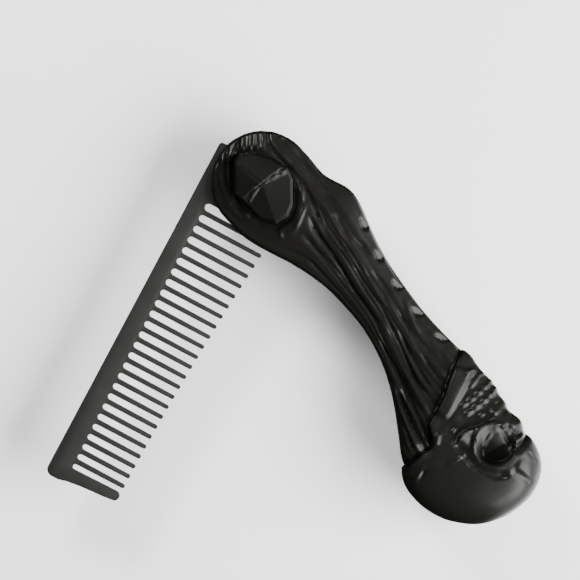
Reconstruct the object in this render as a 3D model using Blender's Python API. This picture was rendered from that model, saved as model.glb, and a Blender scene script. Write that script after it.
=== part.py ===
"""A folding pocket comb: a curved moulded handle with a skull at its lower end and beard strands up to a
round head, and a flat comb blade that turns on a pin in the head and folds into a slot in the handle.

The plan is drawn in millimetres about the pivot, and the whole is moved at the end so that the origin is at
the centre of the bottom of its bounding box. +Z is up, away from the surface that the comb lies on.
"""
import math

import bmesh
import bpy
import numpy as np
from mathutils import Matrix, Vector

MM = 0.001

# head and pivot
HEAD_R = 13.0
HEAD_CENTRE = (0.0, 0.75)
HEAD_START_DEG = 133.0
PIN_R = 1.5
PIN_HOLE_R = 1.58
PIN_HALF = 5.2
WELL_FLOOR = 5.2
STUD_BASE = 5.5
STUD_SHOULDER = 8.6
STUD_RIM = 9.9
STUD_RIM_SHARE = 0.88
STUD_TOP = 10.8
STUD_FLAT = 0.09
STUD_GAP = 0.3

# blade
BLADE_HALF = 1.2
BLADE_DIR_DEG = -118.02
FOLD_DEG = 64.0
SPINE_B = -14.37
TANG_A = -4.75
TANG_EDGE_A = 10.25
LUG_R = 7.0
GUARD_IN_A = 84.75
TEETH = 25
TOOTH_FIRST_A = 12.81
TOOTH_PITCH = 3.0375
PITCH_LOSS = 0.0053
TOOTH_HALF = 0.62
TIP_HALF = 0.5

# slot
SLOT_HALF = 1.5
SLOT_HEAD_R = 15.6
SLOT_FAR_R = 90.2
SLOT_TIP_ROOM = 0.7

# skull frame: origin, and the directions of its face and of its crown
SKULL_O = (52.0, -65.0)
SKULL_FRONT = (0.866, 0.5)
SKULL_UP = (0.5, -0.866)

# stations of the handle: distance from the head's end in mm, and stations per mm there
STATIONS = 82
RING = 58
DENSITY = [(0, 0.75), (6, 0.5), (26, 0.4), (66, 0.4), (76, 0.95), (112, 1.05), (118, 1.6)]

# x and y of the handle's middle line, the width on its hollow and on its round side, and half its thickness
HANDLE_ROWS = [
    (0.00, 0.75, 13.0, 13.0, 7.0),
    (4.02, -3.44, 12.9, 13.0, 6.9),
    (7.85, -6.65, 12.3, 12.3, 6.7),
    (11.76, -9.77, 11.3, 13.0, 6.5),
    (13.72, -11.33, 10.8, 13.3, 6.4),
    (15.66, -12.91, 10.45, 12.75, 6.3),
    (17.54, -14.57, 10.1, 11.55, 6.2),
    (19.30, -16.33, 9.8, 10.2, 6.1),
    (22.52, -20.16, 8.95, 8.6, 6.0),
    (27.06, -26.13, 7.8, 7.7, 6.0),
    (31.48, -32.19, 7.6, 7.55, 6.0),
    (35.79, -38.33, 8.25, 8.1, 6.3),
    (39.24, -43.54, 9.5, 9.4, 6.8),
    (42.37, -48.95, 11.05, 11.5, 7.8),
    (44.55, -53.45, 12.3, 13.0, 9.0),
    (46.56, -58.04, 13.7, 13.9, 10.2),
    (48.58, -62.61, 15.4, 14.5, 11.1),
    (50.83, -67.07, 17.2, 15.8, 11.5),
    (53.39, -71.36, 16.1, 15.9, 11.4),
    (55.47, -74.49, 14.4, 15.7, 10.9),
    (57.63, -77.57, 11.5, 14.55, 9.6),
    (59.09, -79.60, 8.6, 12.75, 8.0),
    (60.55, -81.62, 3.95, 8.4, 4.9),
    (61.35, -82.72, -2.9, 3.0, 0.0),
]

# skull relief in the skull's own frame: polyline points, half width, height, all in mm
SKULL_STROKES = [
    ("orbit_edge", [(-0.3, 2.5), (0.0, 7.0), (2.5, 9.2), (7.5, 8.8), (10.5, 6.8)], 1.5, 0.9),
    ("orbit_back_groove", [(-2.0, 0.5), (-2.0, 5.0), (-0.9, 7.6), (0.9, 9.2), (3.0, 10.4)], 1.0, -1.2),
    ("cheek", [(-0.5, -1.0), (2.5, -2.0)], 2.4, 0.6),
    ("cheek_rim", [(2.0, 1.0), (3.0, -1.2), (5.0, -2.2), (7.5, -2.0), (9.0, 0.5)], 1.1, 0.6),
    ("arch", [(-2.0, 0.2), (-5.0, 0.8)], 1.2, 0.5),
    ("skull_base", [(-18.0, -4.5), (-12.0, -5.2), (-4.0, -5.0), (1.0, -5.6), (6.0, -4.8)], 1.4, -1.6),
    ("jaw_branch", [(-6.0, -6.6), (-3.6, -9.6)], 1.8, 0.5),
    ("jaw_hollow", [(-1.0, -7.4), (2.0, -7.4)], 1.3, -1.2),
    ("jaw_ridge", [(-1.2, -9.5), (2.5, -11.9), (6.2, -13.2), (8.5, -15.8)], 1.2, 1.1),
    ("jaw_line", [(-8.0, -8.5), (-5.5, -11.0), (0.0, -14.4), (3.8, -17.4), (8.8, -21.2)], 1.2, -1.6),
    ("nose", [(10.8, 1.6), (10.8, -2.0)], 1.2, -1.4),
    ("brow_dent", [(6.8, 10.8), (8.2, 13.2)], 1.0, -0.7),
    ("nose_root_dent", [(11.3, 8.0), (12.0, 11.7)], 1.0, -0.5),
    ("temple", [(-13.0, 3.0), (-7.5, 3.5)], 2.6, -0.5),
    ("side_bulge", [(-11.0, 8.5), (-4.0, 10.5)], 4.5, 1.1),
]
TEETH_ROWS = [("upper", -7.6, 3.5, 12.0), ("lower", -9.6, 3.3, 11.9)]

# strand grooves on the handle: share of the half width at the head's end and at the skull's end, and depth
GROOVES = [
    (-0.72, -0.74, 0.7),
    (-0.46, -0.48, 0.8),
    (-0.05, -0.22, 1.1),
    (0.20, 0.10, 0.8),
    (0.45, 0.40, 0.8),
    (0.70, 0.68, 0.6),
]
GROOVE_FROM = 26.0
GROOVE_TO = 86.0

# thumb scoops on the round edge
SCOOPS = [(25.18, -9.17), (28.97, -17.17), (33.70, -24.37), (38.70, -31.20), (44.22, -37.87)]
SCOOP_R = 1.5
SCOOP_DEPTH = 0.7

# plan of the stud: corners in mm about the pivot, and the corners that its four ridges run down to
STUD_CORNERS = [
    (-7.1, 5.9), (-5.2, 7.4), (-2.2, 7.8), (2.0, 6.6), (6.3, 4.1), (7.6, 1.2),
    (7.6, -5.0), (6.4, -8.0), (3.5, -9.8), (-0.5, -8.6), (-4.5, -4.75), (-7.0, -2.5),
]
STUD_RIDGES = (1, 4, 8, 10)
STUD_APEX = (0.1, -0.25)

COLORS = {
    "handle": ((0.018, 0.018, 0.016, 1.0), 0.22),
    "comb": ((0.055, 0.055, 0.051, 1.0), 0.62),
    "stud": ((0.016, 0.016, 0.015, 1.0), 0.18),
    "pin": ((0.55, 0.55, 0.56, 1.0), 0.35),
}


def clear_scene():
    for ob in list(bpy.data.objects):
        bpy.data.objects.remove(ob, do_unlink=True)


def material(name):
    colour, rough = COLORS[name]
    mat = bpy.data.materials.new(name)
    mat.use_nodes = True
    shader = mat.node_tree.nodes["Principled BSDF"]
    shader.inputs["Base Color"].default_value = colour
    shader.inputs["Roughness"].default_value = rough
    shader.inputs["Metallic"].default_value = 1.0 if name == "pin" else 0.0
    return mat


def mesh_object(name, verts, faces, collection, mat=None):
    mesh = bpy.data.meshes.new(name)
    mesh.from_pydata([tuple(c * MM for c in v) for v in verts], [], faces)
    mesh.update()
    ob = bpy.data.objects.new(name, mesh)
    collection.objects.link(ob)
    if mat is not None:
        mesh.materials.append(mat)
    bm = bmesh.new()
    bm.from_mesh(mesh)
    bmesh.ops.recalc_face_normals(bm, faces=bm.faces)
    bm.to_mesh(mesh)
    bm.free()
    return ob


def prism(name, outline, z0, z1, collection, mat=None):
    n = len(outline)
    verts = [(x, y, z0) for x, y in outline] + [(x, y, z1) for x, y in outline]
    faces = [tuple(range(n - 1, -1, -1)), tuple(range(n, 2 * n))]
    faces += [(i, (i + 1) % n, n + (i + 1) % n, n + i) for i in range(n)]
    return mesh_object(name, verts, faces, collection, mat)


def boolean(target, cutter):
    mod = target.modifiers.new("cut_" + cutter.name, "BOOLEAN")
    mod.object = cutter
    mod.operation = "DIFFERENCE"
    mod.solver = "EXACT"


def circle(cx, cy, r, count, start=0.0):
    return [
        (cx + r * math.cos(start + 2 * math.pi * k / count), cy + r * math.sin(start + 2 * math.pi * k / count))
        for k in range(count)
    ]


def arc(cx, cy, r, deg0, deg1, count):
    return [
        (
            cx + r * math.cos(math.radians(deg0 + (deg1 - deg0) * k / (count - 1))),
            cy + r * math.sin(math.radians(deg0 + (deg1 - deg0) * k / (count - 1))),
        )
        for k in range(count)
    ]


def turn(points, degrees):
    c = math.cos(math.radians(degrees))
    s = math.sin(math.radians(degrees))
    return [(x * c - y * s, x * s + y * c) for x, y in points]


# handle


def through_rows(rows, u):
    """A smooth curve through the rows, read at u, counted in rows."""
    rows = np.asarray(rows, float)
    u = np.clip(np.asarray(u, float), 0, len(rows) - 1 - 1e-9)
    i = u.astype(int)
    t = (u - i)[:, None]
    p0 = rows[np.maximum(i - 1, 0)]
    p1 = rows[i]
    p2 = rows[i + 1]
    p3 = rows[np.minimum(i + 2, len(rows) - 1)]
    m1 = (p2 - p0) / 2
    m2 = (p3 - p1) / 2
    return (
        (2 * t**3 - 3 * t**2 + 1) * p1
        + (t**3 - 2 * t**2 + t) * m1
        + (3 * t**2 - 2 * t**3) * p2
        + (t**3 - t**2) * m2
    )


def handle_stations(count):
    """Distance, place, direction, widths and half thickness at evenly spread places down the handle."""
    fine = through_rows(HANDLE_ROWS, np.linspace(0, len(HANDLE_ROWS) - 1, 1200))
    a = math.radians(HEAD_START_DEG)
    start = np.array(HEAD_CENTRE) + HEAD_R * np.array([math.cos(a), math.sin(a)])
    lead = np.linspace(0, 1, 120, endpoint=False)[:, None]
    line = np.vstack([start * (1 - lead) + np.array(HEAD_CENTRE) * lead, fine[:, :2]])
    s = np.r_[0, np.cumsum(np.hypot(*np.diff(line, axis=0).T))]
    left = np.r_[np.zeros(120), fine[:, 2]]
    right = np.r_[np.zeros(120), fine[:, 3]]
    thick = np.r_[np.zeros(120), fine[:, 4]]
    d = s[:120]
    left[:120] = right[:120] = np.sqrt(np.maximum(HEAD_R**2 - (HEAD_R - d) ** 2, 0))
    thick[:120] = HANDLE_ROWS[0][4] * (1 - ((HEAD_R - d) / HEAD_R) ** 3.0) ** (1 / 3.0)
    direction = np.gradient(line, axis=0)
    direction /= np.hypot(*direction.T)[:, None]
    for _ in range(60):
        direction[1:-1] = (direction[:-2] + direction[1:-1] + direction[2:]) / 3
    direction /= np.hypot(*direction.T)[:, None]
    total = s[-1]
    even = np.linspace(0, total, 2000)
    crowd = np.cumsum(np.interp(even, *zip(*DENSITY)))
    where = np.interp(np.linspace(crowd[0], crowd[-1], count), crowd, even)
    cols = [line[:, 0], line[:, 1], direction[:, 0], direction[:, 1], left, right, thick]
    return [where] + [np.interp(where, s, c) for c in cols]


def stroke(f, g, points, half_width):
    """1 on the polyline, falling smoothly to 0 away from it."""
    best = np.full(np.shape(f), 1e9)
    for (f0, g0), (f1, g1) in zip(points, points[1:]):
        df = f1 - f0
        dg = g1 - g0
        t = np.clip(((f - f0) * df + (g - g0) * dg) / (df * df + dg * dg), 0, 1)
        best = np.minimum(best, np.hypot(f - f0 - t * df, g - g0 - t * dg))
    return np.exp(-((best / half_width) ** 2))


def skull_relief(x, y):
    f = (x - SKULL_O[0]) * SKULL_FRONT[0] + (y - SKULL_O[1]) * SKULL_FRONT[1]
    g = (x - SKULL_O[0]) * SKULL_UP[0] + (y - SKULL_O[1]) * SKULL_UP[1]
    out = np.zeros(np.shape(f))
    for _, points, half_width, height in SKULL_STROKES:
        out += height * stroke(f, g, points, half_width)
    turned = math.radians(25)
    u = (f - 5.2) * math.cos(turned) + (g - 3.2) * math.sin(turned)
    v = -(f - 5.2) * math.sin(turned) + (g - 3.2) * math.cos(turned)
    socket = np.hypot(u / 4.6, v / 3.7)
    out -= 3.6 / (1 + np.exp((socket - 1) * 9))
    for _, level, f0, f1 in TEETH_ROWS:
        for k in range(5):
            tf = f0 + (f1 - f0) * k / 4
            out += 0.8 * np.exp(-(((f - tf) / 0.85) ** 2) - ((g - level + 0.24 * k) / 0.8) ** 2)
    return out


def handle_height(s, x, y, share):
    """How far the relief stands out of the plain form."""
    out = skull_relief(x, y)
    along = np.clip((s - GROOVE_FROM) / (GROOVE_TO - GROOVE_FROM), 0, 1)
    fade = np.clip((s - GROOVE_FROM + 6) / 8, 0, 1) * np.clip((GROOVE_TO + 2 - s) / 6, 0, 1)
    for t0, t1, depth in GROOVES:
        middle = t0 + (t1 - t0) * along
        out -= depth * fade * np.exp(-(((share - middle) / 0.095) ** 2))
    for sx, sy in SCOOPS:
        out -= SCOOP_DEPTH * np.exp(-(((x - sx) ** 2 + (y - sy) ** 2) / SCOOP_R**2))
    return out


def handle_body(collection, mat):
    s, cx, cy, dx, dy, left, right, thick = handle_stations(STATIONS)
    half_ring = RING // 2
    verts = [(cx[0], cy[0], 0.0)]
    for i in range(1, STATIONS - 1):
        skull = np.clip((s[i] - 70) / 25, 0, 1)
        power = 2.8 - 0.35 * skull
        middle = (right[i] - left[i]) / 2
        half = (right[i] + left[i]) / 2
        angle = np.linspace(0, math.pi, half_ring + 1)
        share = np.sign(np.cos(angle)) * np.abs(np.cos(angle)) ** (2 / power)
        share = 0.45 * share + 0.25 * np.cos(angle) + 0.3 * (1 - 2 * angle / math.pi)
        w = middle + half * share
        x = cx[i] - dy[i] * w
        y = cy[i] + dx[i] * w
        plain = thick[i] * np.maximum(1 - np.abs(share) ** power, 0) ** (1 / power)
        edge = np.clip(plain / 2.5, 0, 1) ** 2
        z = np.maximum(plain + handle_height(s[i], x, y, share) * edge, 0)
        z[0] = z[-1] = 0
        ring = [(x[j], y[j], z[j]) for j in range(half_ring + 1)]
        ring += [(x[j], y[j], -z[j]) for j in range(half_ring - 1, 0, -1)]
        verts += ring
    mid = (right[-1] - left[-1]) / 2
    verts.append((cx[-1] - dy[-1] * mid, cy[-1] + dx[-1] * mid, 0.0))
    rings = STATIONS - 2
    faces = [(0, 1 + (k + 1) % RING, 1 + k) for k in range(RING)]
    for i in range(rings - 1):
        a = 1 + i * RING
        b = a + RING
        for k in range(RING):
            faces.append((a + k, a + (k + 1) % RING, b + (k + 1) % RING, b + k))
    a = 1 + (rings - 1) * RING
    end = len(verts) - 1
    faces += [(a + k, a + (k + 1) % RING, end) for k in range(RING)]
    return mesh_object("handle", verts, faces, collection, mat)


def tip_b(a):
    """Height of the tooth tips above the line through the pivot, at a distance a along the blade."""
    return 4.98 + 3.1 * max((83.25 - a) / 67.5, 0.0) ** 1.85


def slot_outline():
    floor = [(a, tip_b(a) + SLOT_TIP_ROOM) for a in np.linspace(90.0, 13.2, 20)]
    head = arc(0, 0, SLOT_HEAD_R, 34.5, 180, 22)
    far = arc(0, 0, SLOT_FAR_R, -35, 3.4, 14)
    points = floor + head + [(-SLOT_HEAD_R, -45.0)] + far
    return turn(points, BLADE_DIR_DEG + FOLD_DEG)


def stud_outline(gap):
    """The stud's plan, grown by gap."""
    centre = np.mean(STUD_CORNERS, axis=0)
    out = []
    n = len(STUD_CORNERS)
    for i in range(n):
        p = np.array(STUD_CORNERS[i])
        a = np.array(STUD_CORNERS[i - 1])
        b = np.array(STUD_CORNERS[(i + 1) % n])
        e0 = (p - a) / np.hypot(*(p - a))
        e1 = (b - p) / np.hypot(*(b - p))
        n0 = np.array([-e0[1], e0[0]])
        n1 = np.array([-e1[1], e1[0]])
        if np.dot(n0, p - centre) < 0:
            n0 = -n0
            n1 = -n1
        m = (n0 + n1) / (1 + np.dot(n0, n1))
        out.append(tuple(p + m * gap))
    return out


def stud(name, side, collection, mat):
    """A straight-sided foot, a bevelled edge and a low pyramid with four ridges."""
    n = len(STUD_CORNERS)
    apex = np.array(STUD_APEX)
    rim = apex + STUD_RIM_SHARE * (np.array(STUD_CORNERS) - apex)
    verts = [(x, y, side * STUD_BASE) for x, y in STUD_CORNERS]
    verts += [(x, y, side * STUD_SHOULDER) for x, y in STUD_CORNERS]
    verts += [(x, y, side * STUD_RIM) for x, y in rim]
    top = []
    for k in STUD_RIDGES:
        p = apex + STUD_FLAT * (np.array(STUD_CORNERS[k]) - apex)
        top.append(len(verts))
        verts.append((p[0], p[1], side * STUD_TOP))
    faces = [tuple(range(n)), tuple(top)]
    for low in (0, n):
        faces += [(low + i, low + (i + 1) % n, low + n + (i + 1) % n, low + n + i) for i in range(n)]
    for r in range(4):
        k0 = STUD_RIDGES[r]
        k1 = STUD_RIDGES[(r + 1) % 4]
        corners = [(k0 + j) % n for j in range((k1 - k0) % n + 1)]
        middle = corners[len(corners) // 2]
        t0 = top[r]
        t1 = top[(r + 1) % 4]
        for c0, c1 in zip(corners, corners[1:]):
            near = t0 if corners.index(c0) < corners.index(middle) else t1
            faces.append((2 * n + c0, 2 * n + c1, near))
        faces.append((2 * n + middle, t1, t0))
    return mesh_object(name, verts, faces, collection, mat)


# blade


def tooth_a(k):
    return TOOTH_FIRST_A + TOOTH_PITCH * k - PITCH_LOSS * k * k


def root_b(a):
    """Height of the bottom of the gap between two teeth."""
    return -10.25 + 1.35 * (max(a - 10.0, 0.0) / 74.0) ** 1.6


def comb_outline():
    """The blade's plan, with a along the spine from the pivot and b towards the teeth."""
    pts = arc(TANG_A + 0.8, SPINE_B + 0.8, 0.8, 180, 270, 4)
    pts += arc(88.85 - 1.9, SPINE_B + 1.9, 1.9, -90, 0, 6)
    pts += [(88.8, -10.6), (88.25, -8.6), (87.75, -5.0), (87.2, 2.2)]
    pts += arc(85.75, 3.75, 1.25, 8, 172, 7)
    gaps = []
    for k in range(TEETH + 1):
        lo = TANG_EDGE_A if k == 0 else tooth_a(k - 1) + TOOTH_HALF
        hi = GUARD_IN_A if k == TEETH else tooth_a(k) - TOOTH_HALF
        gaps.append((lo, hi))
    for k in range(TEETH, -1, -1):
        lo, hi = gaps[k]
        r = min((hi - lo) / 2, 0.95)
        level = root_b((lo + hi) / 2)
        pts += arc(hi - r, level + r, r, 0, -90, 4)
        if hi - lo > 2 * r + 0.05:
            pts += arc(lo + r, level + r, r, -90, -180, 4)
        else:
            pts += arc(lo + r, level + r, r, -90, -180, 4)[1:]
        if k > 0:
            a = tooth_a(k - 1)
            pts += arc(a, tip_b(a) - TIP_HALF, TIP_HALF, 0, 180, 5)
    pts += [(TANG_EDGE_A, -6.0)]
    pts += arc(0, 0, LUG_R, 0, 170, 12)
    pts += [(TANG_A - 0.9, -4.0)]
    return pts


def comb_blade(collection, cutters, mat):
    blade = prism("comb_blade", turn(comb_outline(), BLADE_DIR_DEG), -BLADE_HALF, BLADE_HALF, collection, mat)
    hole = prism("pin_hole_blade", circle(0, 0, PIN_HOLE_R, 32), -3, 3, cutters)
    boolean(blade, hole)
    for side, label in ((1, "top"), (-1, "under")):
        rows = ((0.84, 11.6, 83.5, -10.2, 0.84), (2.2, 11.0, 88.2, -14.75, 2.2))
        verts = []
        for z, a0, a1, b0, _ in rows:
            far = z if z > 1 else 0.52
            corners = turn([(a0, b0), (a1, b0), (a1, 10.0), (a0, 10.0)], BLADE_DIR_DEG)
            heights = (z, z, far, far)
            verts += [(x, y, side * h) for (x, y), h in zip(corners, heights)]
        faces = [(0, 1, 2, 3), (4, 5, 6, 7), (0, 1, 5, 4), (1, 2, 6, 5), (2, 3, 7, 6), (3, 0, 4, 7)]
        cutter = mesh_object("thin_" + label, verts, faces, cutters)
        boolean(blade, cutter)
    return blade


def bounds(objects):
    depsgraph = bpy.context.evaluated_depsgraph_get()
    lo = Vector((1e9,) * 3)
    hi = Vector((-1e9,) * 3)
    for ob in objects:
        mesh = ob.evaluated_get(depsgraph).to_mesh()
        for v in mesh.vertices:
            p = ob.matrix_world @ v.co
            lo = Vector(map(min, lo, p))
            hi = Vector(map(max, hi, p))
    return lo, hi


def build():
    clear_scene()
    parts = bpy.data.collections.new("folding_comb")
    cutters = bpy.data.collections.new("cutters")
    for col in (parts, cutters):
        bpy.context.scene.collection.children.link(col)
    mats = {name: material(name) for name in COLORS}

    handle = handle_body(parts, mats["handle"])
    slot = prism("slot", slot_outline(), -SLOT_HALF, SLOT_HALF, cutters)
    hole = prism("pin_hole_handle", circle(0, 0, PIN_HOLE_R, 32), -9, 9, cutters)
    boolean(handle, slot)
    boolean(handle, hole)
    for side, label in ((1, "top"), (-1, "under")):
        z0, z1 = sorted((side * WELL_FLOOR, side * 14))
        boolean(handle, prism("well_" + label, stud_outline(STUD_GAP), z0, z1, cutters))

    blade = comb_blade(parts, cutters, mats["comb"])
    pin = prism("pivot_pin", circle(0, 0, PIN_R, 32), -PIN_HALF, PIN_HALF, parts, mats["pin"])
    front = stud("pivot_cap_front", 1, parts, mats["stud"])
    back = stud("pivot_cap_back", -1, parts, mats["stud"])

    for ob in cutters.objects:
        ob.hide_render = True
        ob.display_type = "WIRE"
    bpy.context.view_layer.update()
    solids = [handle, blade, pin, front, back]
    lo, hi = bounds(solids)
    shift = Vector((-(lo.x + hi.x) / 2, -(lo.y + hi.y) / 2, -lo.z))
    for ob in solids + list(cutters.objects):
        ob.matrix_world = Matrix.Translation(shift)
    bpy.context.view_layer.update()


build()
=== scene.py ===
import math

import bmesh
import bpy
import numpy as np
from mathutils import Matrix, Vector


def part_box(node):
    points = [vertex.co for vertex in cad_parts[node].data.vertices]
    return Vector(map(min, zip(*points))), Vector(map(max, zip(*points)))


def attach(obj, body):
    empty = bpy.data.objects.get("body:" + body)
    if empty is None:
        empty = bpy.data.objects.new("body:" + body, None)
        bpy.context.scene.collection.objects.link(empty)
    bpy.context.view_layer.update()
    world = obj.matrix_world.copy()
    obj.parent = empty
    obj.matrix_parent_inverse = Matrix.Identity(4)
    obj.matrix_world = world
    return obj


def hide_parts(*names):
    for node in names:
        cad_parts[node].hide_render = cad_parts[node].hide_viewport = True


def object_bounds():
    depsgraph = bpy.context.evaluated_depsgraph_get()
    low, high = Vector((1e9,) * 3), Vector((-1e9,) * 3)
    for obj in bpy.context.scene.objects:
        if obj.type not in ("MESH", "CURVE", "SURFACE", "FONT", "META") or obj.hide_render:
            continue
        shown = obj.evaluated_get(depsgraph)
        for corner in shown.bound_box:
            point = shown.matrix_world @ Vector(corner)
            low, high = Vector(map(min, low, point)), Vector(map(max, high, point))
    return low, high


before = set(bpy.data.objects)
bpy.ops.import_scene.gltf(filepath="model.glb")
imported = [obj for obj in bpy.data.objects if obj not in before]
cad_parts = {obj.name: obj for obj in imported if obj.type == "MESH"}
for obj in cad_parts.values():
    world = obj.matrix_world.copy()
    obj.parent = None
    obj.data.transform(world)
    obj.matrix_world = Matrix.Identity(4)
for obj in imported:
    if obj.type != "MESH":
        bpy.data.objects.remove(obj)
CAD_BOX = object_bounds()

# The handle is drawn in the photograph's pixels: 4 of them are 1 mm, and the pivot is at PIVOT_PX. The studs,
# the blade and the cutters are drawn in mm about the pivot.
PX = 0.00025
MM = 0.001
PX_PER_MM = 4
PIVOT_PX = (262.0, 185.0)
lo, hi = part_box("pivot_pin")
PIVOT = (lo + hi) / 2

# handle, in pixels: the round head, the ends of the middle line, the greatest height, and the mesh's fineness
HEAD_C = (262.0, 182.0)
HEAD_R = 51.7
HEAD_HALF = 28
START_S = -6
END_S = 461.6
HIGHEST = 47.6
STATIONS = 466
HALF_RING = 126

# how the blade lies in the photograph, and how far it turns from there to be closed
BLADE_DIR_DEG = -118.02
FOLD_DEG = 64.0

# cut-outs, in mm: the slot, the pin's hole and the studs' wells
SLOT_HALF = 1.5
SLOT_HEAD_R = 15.6
SLOT_FAR_R = 90.2
SLOT_TIP_ROOM = 0.7
PIN_HOLE_R = 1.58
WELL_FLOOR = 5.2
STUD_GAP = 0.3

# blade, in mm: a runs along it from the pivot and b across it towards the teeth's tips
BLADE_HALF = 1.2
TANG_A = -4.75
TANG_CORNER_R = 0.8
TANG_EDGE_A = 10.25
LUG_R = 7.0
SPINE_B = -14.37
GUARD_IN_A = 84.75
GUARD_OUT_A = 88.81
GUARD_CORNER_R = 1.9
TEETH = 25
TOOTH_HALF = 0.66
TOOTH_TIP_R = 0.56
ROOT_R = 0.95
BLADE_BEVEL = 0.07
# the wedge cut off each face of the teeth, its inner side and then its outer side: height at the roots, first
# and last a, b at the roots, and height at WEDGE_FAR_B
WEDGE = [(0.84, 11.6, 83.5, -10.2, 0.52), (2.2, 11.0, 88.2, -14.75, 2.2)]
WEDGE_FAR_B = 10.0

# how closely the stations lie: distance along the handle, and their share there
CROWD = [
    (START_S, 3), (0, 1.4), (20, 1.0), (120, 0.66), (290, 0.6), (310, 1.15), (430, 1.15), (452, 1.8),
    (462, 5),
]
# the handle's middle line: distance along it, x and y
LINE = [
    (-6, 230.1, 140.7), (0, 233.0, 146.0), (20, 243.9, 162.8), (40, 256.2, 178.5), (60, 269.7, 193.2),
    (80, 284.0, 207.3), (100, 298.7, 220.8), (120, 313.5, 234.2), (140, 328.2, 247.9), (160, 342.2, 262.2),
    (180, 355.1, 277.4), (200, 367.1, 293.4), (220, 378.1, 310.1), (240, 388.2, 327.3), (260, 397.6, 345.0),
    (280, 406.4, 363.0), (300, 414.8, 381.1), (320, 423.0, 399.3), (340, 431.6, 417.4), (360, 440.6, 435.3),
    (380, 450.0, 452.9), (400, 459.7, 470.4), (420, 469.6, 487.8), (440, 479.6, 505.1), (462, 490.6, 524.2),
]
# the outline: distance along, width on the hollow side, width on the round side
OUTLINE = [
    (55, 49.8, 53.6), (60, 49.8, 53.6), (70, 49.8, 52.8), (80, 48.2, 51.6), (90, 45.8, 51.8),
    (100, 43.4, 54.2), (110, 40.6, 56.8), (120, 38.0, 57.4), (130, 35.9, 55.2), (140, 34.2, 51.0),
    (150, 32.5, 46.4), (160, 31.0, 42.2), (170, 29.4, 39.0), (180, 28.0, 36.9), (190, 26.9, 35.5),
    (200, 25.9, 34.9), (220, 23.8, 35.5), (240, 22.8, 38.2), (260, 22.7, 43.4), (280, 23.6, 50.5),
    (290, 24.8, 55.0), (300, 26.3, 59.6), (310, 28.5, 61.4), (320, 31.0, 64.2), (330, 34.0, 68.2),
    (340, 37.4, 70.2), (350, 41.2, 70.2), (360, 45.1, 71.4), (368, 48.4, 70.4), (375, 51.9, 73.0),
    (380, 53.6, 75.4), (385, 54.8, 76.4), (390, 55.0, 75.2), (395, 54.5, 74.4), (400, 53.5, 76.0),
    (405, 52.3, 77.0), (415, 48.6, 77.4), (425, 43.2, 76.2), (435, 36.0, 72.4), (440, 31.0, 69.0),
    (445, 25.2, 64.4), (450, 18.3, 58.0), (454, 10.8, 51.0), (457, 2.4, 43.6), (459.5, -6.4, 34.4),
    (461, -14.5, 26.2), (461.6, -20.3, 20.4),
]
# half the thickness in pixels, against distance along
THICK = [
    (-6, 0.0), (-5.5, 8.0), (-4.5, 12.5), (-2.5, 17.0), (1, 21.0), (6, 24.3), (14, 27.0), (25, 28.0),
    (60, 28.0), (90, 27.0), (120, 26.0), (150, 25.0), (180, 24.2), (220, 24.0), (250, 24.4), (280, 26.0),
    (300, 28.5), (320, 31.4), (335, 34.2), (350, 37.0), (365, 39.4), (380, 41.2), (395, 42.0), (404, 41.9),
    (412, 41.5), (420, 40.8), (428, 39.8), (436, 38.4), (443, 36.6), (449, 34.0), (453.5, 30.5),
    (456.5, 26.0), (459, 19.5), (460.6, 11.5), (461.3, 5.5), (461.6, 0.0),
]
# how square the section is: distance along, power on the face's side, power on the other
SECTION = [
    (280, 2.6, 2.6), (320, 3.2, 4.5), (365, 3.7, 4.5), (385, 3.8, 3.6), (400, 3.6, 3.2), (430, 3.3, 2.6),
    (447, 2.8, 2.3), (462, 2.3, 2.1),
]
# how the strands run: distance along, then the place across of six lines of flow
FLOW = [
    (-6, -34, -20, -4, 12, 26, 40), (40, -50, -34, -12, 12, 34, 54), (80, -48, -30, 2, 20, 34, 52),
    (108, -42, -24, 8, 19, 31, 56), (130, -36, -19, 1.5, 13, 24, 55), (160, -31, -18, -4, 7, 18, 42),
    (190, -27, -17, -9.5, 3, 12, 35.5), (220, -24, -16, -9.5, 2.5, 12, 35.5),
    (250, -23, -15.5, -11, 2, 14, 41), (280, -24, -16.5, -12.5, 0.5, 17, 51),
    (310, -29, -20, -12.5, 4, 25, 61), (340, -38, -24, -10, 14, 38, 70), (370, -50, -30, -8, 22, 48, 74),
]

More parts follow.
